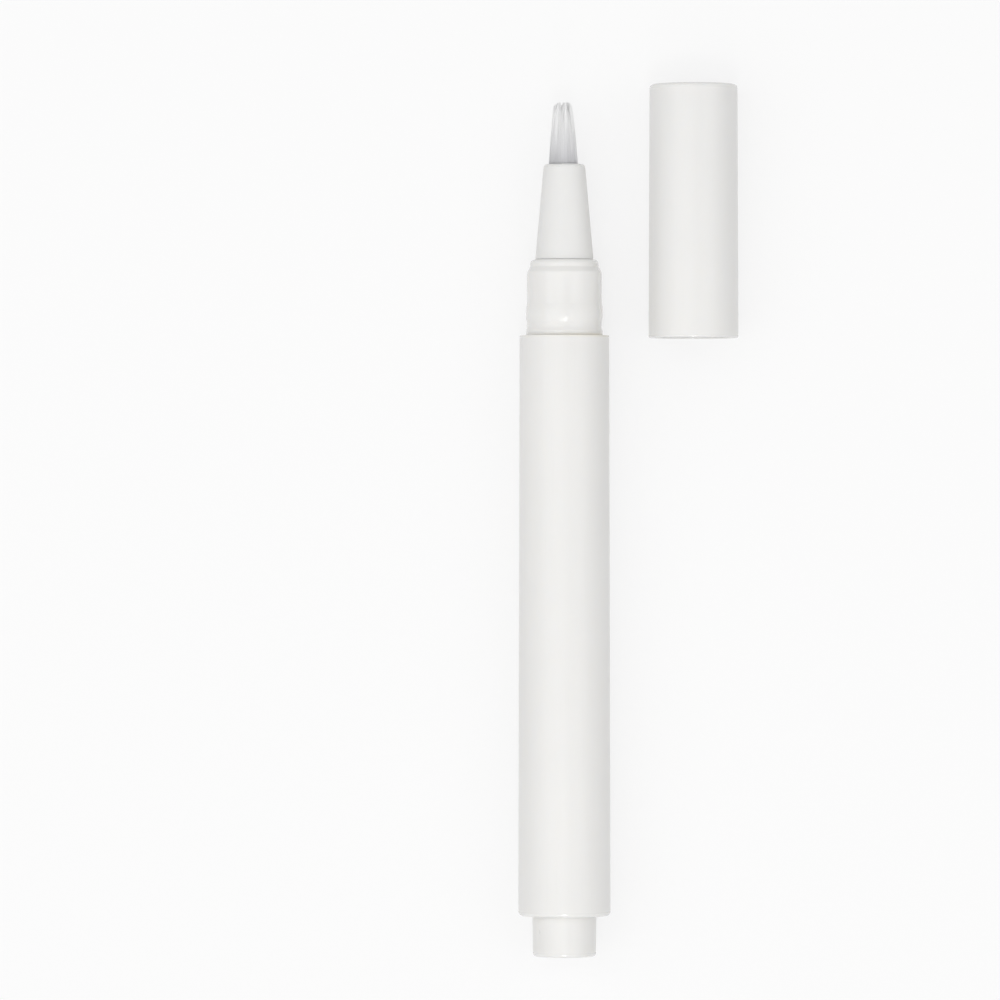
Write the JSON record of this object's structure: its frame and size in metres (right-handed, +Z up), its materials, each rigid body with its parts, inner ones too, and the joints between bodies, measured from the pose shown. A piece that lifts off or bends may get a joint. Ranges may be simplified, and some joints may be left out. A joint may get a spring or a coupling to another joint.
{
  "type": "cosmetic pen",
  "caption": "Push-button cuticle oil pen with a brush tip, a screw-driven piston in its barrel, and its pull-off cap lying beside it.",
  "frame": {"origin": "on the surface that the pen and its cap lie on, under the middle of the two together", "axes": "+Y along the pen from the button to the brush, +X from the pen to its cap, +Z up"},
  "size_m": [0.0368, 0.146, 0.0154],
  "materials": {
    "white_plastic": "satin gloss",
    "matte_plastic": "fine matte",
    "natural_plastic": "natural, slightly milky",
    "acetal": "smooth moulded acetal",
    "soft_plastic": "soft, waxy",
    "bristle_nylon": "translucent filament",
    "spring_steel": "drawn wire"
  },
  "bodies": {
    "pen_body": {"barrel": "white_plastic", "neck_collar": "white_plastic", "nose_cone": "matte_plastic", "feed_tube": "natural_plastic", "brush": "bristle_nylon", "rod_nut": "natural_plastic", "guide_sleeve": "natural_plastic", "detent_ring": "acetal", "return_spring": "spring_steel"},
    "button": {"button": "white_plastic"},
    "drive": {"drive_wheel": "acetal"},
    "screw": {"push_rod": "acetal"},
    "piston": {"piston": "soft_plastic"},
    "cap": {"cap_shell": "white_plastic", "cap_liner": "natural_plastic"}
  },
  "joints": [
    {"name": "button_press", "type": "slide", "parent": "pen_body", "child": "button", "axis": [0, 1, 0], "range_m": [0, 0.0024], "stiffness_N_per_m": 390, "springref_m": -0.003, "deforming": ["return_spring"]},
    {"name": "drive_turn", "type": "hinge", "parent": "pen_body", "child": "drive", "pos_m": [-0.01072, -0.05, 0.00773], "axis": [0, 1, 0], "range_deg": [0, 4320]},
    {"name": "screw_feed", "type": "slide", "parent": "drive", "child": "screw", "axis": [0, 1, 0], "range_m": [0, 0.036]},
    {"name": "piston_feed", "type": "slide", "parent": "pen_body", "child": "piston", "axis": [0, 1, 0], "range_m": [0, 0.036]},
    {"name": "cap_pull", "type": "slide", "parent": "pen_body", "child": "cap", "axis": [0, 1, 0], "range_m": [0, 0.04]}
  ],
  "couplings": [
    {"joint": "drive_turn", "follows": "piston_feed", "rad_per_m": 2094.4},
    {"joint": "screw_feed", "follows": "piston_feed", "ratio": 1}
  ]
}
